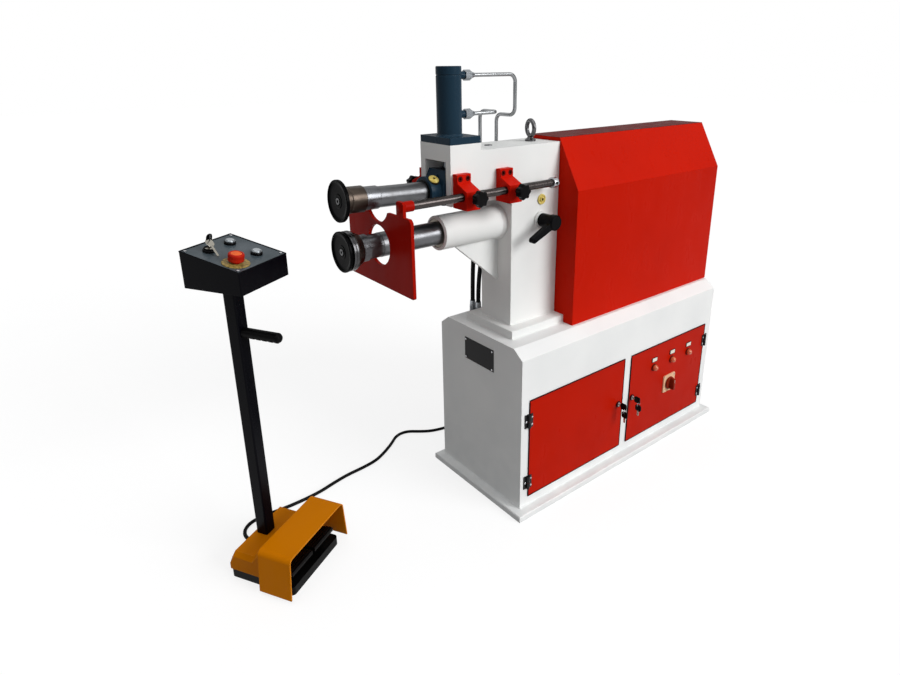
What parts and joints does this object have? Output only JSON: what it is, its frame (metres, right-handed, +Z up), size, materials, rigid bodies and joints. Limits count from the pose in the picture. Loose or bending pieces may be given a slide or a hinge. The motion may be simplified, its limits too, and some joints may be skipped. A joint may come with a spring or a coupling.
{
  "type": "motorised beading machine",
  "caption": "Floor-standing motorised sheet-metal beading machine with geared forming rolls, a hydraulically pressed upper shaft and a separate foot-switch and control post.",
  "frame": {"origin": "on the floor under the middle of the cabinet, in the plane of the shafts", "axes": "+X along the machine from the rolls to the motor, +Y to the back, +Z up"},
  "size_m": [1.9962, 0.7392, 1.478],
  "materials": {
    "white_paint": "satin",
    "red_paint": "satin",
    "blue_paint": "gloss",
    "black_paint": "satin",
    "panel_grey": "satin",
    "machine_grey": "satin",
    "steel": "turned",
    "dark_steel": "blackened",
    "chrome": "polished",
    "bronze": "machined",
    "hose_rubber": "matte",
    "cord_jacket": "satin",
    "ochre_plastic": "satin",
    "black_plastic": "satin",
    "yellow_plastic": "gloss",
    "red_plastic": "gloss",
    "amber_plastic": "translucent",
    "board": "satin",
    "plate_black": "anodised"
  },
  "bodies": {
    "machine": {"base_plate": "white_paint", "cabinet_shell": "white_paint", "hinge_leaves": "black_paint", "nameplate": "plate_black", "column_flange": "white_paint", "column_body": "white_paint", "head_block": "white_paint", "lower_arm": "white_paint", "gear_cover": "red_paint", "hydraulic_cylinder": "blue_paint", "pipe_fittings": "steel", "steel_pipes": "chrome", "rubber_hoses": "hose_rubber", "eye_bolt": "steel", "grease_caps": "yellow_plastic", "drive_motor": "machine_grey", "gearbox": "machine_grey", "hydraulic_unit": "machine_grey", "electric_board": "board", "shaft_bearings": "bronze", "cord_glands": "black_plastic", "floor_cord": "cord_jacket", "console_box": "black_paint", "console_panel": "panel_grey", "post_tube": "black_paint", "foot_base": "black_paint", "hand_grip": "black_plastic", "foot_housing": "ochre_plastic", "switch_collars": "black_plastic", "clamp_blocks": "red_paint", "socket_screws": "dark_steel"},
    "upper_block": {"bearing_block": "blue_paint"},
    "piston": {"piston_rod": "chrome"},
    "thrust": {"thrust_ring": "bronze"},
    "lower_spindle": {"lower_shaft": "steel", "lower_roll": "dark_steel", "lower_gear": "steel"},
    "upper_spindle": {"upper_shaft": "steel", "upper_roll": "dark_steel", "upper_gear": "steel"},
    "pinion": {"drive_pinion": "steel"},
    "adjust_lever": {"adjust_lever": "black_plastic"},
    "depth_stop": {"stop_plate": "red_paint", "guide_bars": "steel"},
    "knob_front_left": {"star_knob_front_left": "black_plastic"},
    "knob_front_right": {"star_knob_front_right": "black_plastic"},
    "knob_rear_left": {"star_knob_rear_left": "black_plastic"},
    "knob_rear_right": {"star_knob_rear_right": "black_plastic"},
    "left_door": {"left_door": "red_paint"},
    "right_door": {"right_door": "red_paint", "door_controls": "amber_plastic"},
    "left_latch": {"left_latch": "black_plastic"},
    "right_latch": {"right_latch": "black_plastic"},
    "main_switch": {"main_switch_handle": "black_plastic"},
    "stop_button": {"estop_button": "red_plastic"},
    "left_button": {"left_button": "chrome"},
    "right_button": {"right_button": "chrome"},
    "key": {"switch_key": "steel"},
    "left_pedal": {"left_pedal": "black_plastic"},
    "right_pedal": {"right_pedal": "black_plastic"}
  },
  "joints": [
    {"name": "upper_swing", "type": "hinge", "parent": "machine", "child": "upper_block", "pos_m": [-0.285, 0, 1.109], "axis": [0, -1, 0], "range_deg": [0, 1.97]},
    {"name": "piston_slide", "type": "slide", "parent": "machine", "child": "piston", "axis": [0, 0, -1], "range_m": [0, 0.013]},
    {"name": "adjust_lever_turn", "type": "hinge", "parent": "machine", "child": "adjust_lever", "pos_m": [-0.344, -0.1, 0.992], "axis": [0, 1, 0], "range_deg": [-45, 45]},
    {"name": "thrust_slide", "type": "slide", "parent": "machine", "child": "thrust", "axis": [1, 0, 0], "range_m": [-0.003, 0.003]},
    {"name": "lower_spin", "type": "hinge", "parent": "thrust", "child": "lower_spindle", "pos_m": [-0.344, 0, 0.992], "axis": [1, 0, 0], "continuous": true},
    {"name": "upper_spin", "type": "hinge", "parent": "upper_block", "child": "upper_spindle", "pos_m": [-0.285, 0, 1.109], "axis": [0.9994, 0, -0.0344], "continuous": true},
    {"name": "pinion_spin", "type": "hinge", "parent": "machine", "child": "pinion", "pos_m": [-0.235, 0, 0.892], "axis": [1, 0, 0], "continuous": true},
    {"name": "depth_stop_slide", "type": "slide", "parent": "machine", "child": "depth_stop", "axis": [1, 0, 0], "range_m": [-0.1, 0.05]},
    {"name": "knob_front_left_turn", "type": "hinge", "parent": "machine", "child": "knob_front_left", "pos_m": [-0.6805, -0.16, 1.12], "axis": [0, 1, 0], "range_deg": [0, 360]},
    {"name": "knob_front_right_turn", "type": "hinge", "parent": "machine", "child": "knob_front_right", "pos_m": [-0.515, -0.16, 1.12], "axis": [0, 1, 0], "range_deg": [0, 360]},
    {"name": "knob_rear_left_turn", "type": "hinge", "parent": "machine", "child": "knob_rear_left", "pos_m": [-0.6805, 0.16, 1.12], "axis": [0, 1, 0], "range_deg": [0, 360]},
    {"name": "knob_rear_right_turn", "type": "hinge", "parent": "machine", "child": "knob_rear_right", "pos_m": [-0.515, 0.16, 1.12], "axis": [0, 1, 0], "range_deg": [0, 360]},
    {"name": "left_door_swing", "type": "hinge", "parent": "machine", "child": "left_door", "pos_m": [-0.5174, -0.2256, 0.245], "axis": [0, 0, -1], "range_deg": [0, 110]},
    {"name": "right_door_swing", "type": "hinge", "parent": "machine", "child": "right_door", "pos_m": [0.5125, -0.2256, 0.245], "axis": [0, 0, 1], "range_deg": [0, 110]},
    {"name": "left_latch_turn", "type": "hinge", "parent": "left_door", "child": "left_latch", "pos_m": [-0.0469, -0.23, 0.25], "axis": [0, 1, 0], "range_deg": [0, 90]},
    {"name": "right_latch_turn", "type": "hinge", "parent": "right_door", "child": "right_latch", "pos_m": [0.035, -0.23, 0.25], "axis": [0, -1, 0], "range_deg": [0, 90]},
    {"name": "main_switch_turn", "type": "hinge", "parent": "right_door", "child": "main_switch", "pos_m": [0.276, -0.235, 0.235], "axis": [0, -1, 0], "range_deg": [0, 90]},
    {"name": "stop_button_press", "type": "slide", "parent": "machine", "child": "stop_button", "axis": [-0.1028, 0.178, -0.9787], "range_m": [0, 0.005]},
    {"name": "left_button_press", "type": "slide", "parent": "machine", "child": "left_button", "axis": [-0.1028, 0.178, -0.9787], "range_m": [0, 0.003], "stiffness_N_per_m": 600, "springref_m": -0.002},
    {"name": "right_button_press", "type": "slide", "parent": "machine", "child": "right_button", "axis": [-0.1028, 0.178, -0.9787], "range_m": [0, 0.003], "stiffness_N_per_m": 600, "springref_m": -0.002},
    {"name": "key_turn", "type": "hinge", "parent": "machine", "child": "key", "pos_m": [-1.34617, 0.1506, 1.01936], "axis": [0.1028, -0.178, 0.9787], "range_deg": [0, 90]},
    {"name": "left_pedal_press", "type": "hinge", "parent": "machine", "child": "left_pedal", "pos_m": [-1.2593, 0.08414, 0.044], "axis": [0.866, 0.5, 0], "range_deg": [0, 12], "stiffness_Nm_per_rad": 8, "springref_deg": -6.88},
    {"name": "right_pedal_press", "type": "hinge", "parent": "machine", "child": "right_pedal", "pos_m": [-1.2593, 0.08414, 0.044], "axis": [0.866, 0.5, 0], "range_deg": [0, 12], "stiffness_Nm_per_rad": 8, "springref_deg": -6.88}
  ],
  "couplings": [
    {"joint": "piston_slide", "follows": "upper_swing", "m_per_rad": 0.3742},
    {"joint": "thrust_slide", "follows": "adjust_lever_turn", "m_per_rad": 0.0038},
    {"joint": "upper_spin", "follows": "lower_spin", "ratio": -1},
    {"joint": "pinion_spin", "follows": "lower_spin", "ratio": -1.3529}
  ]
}
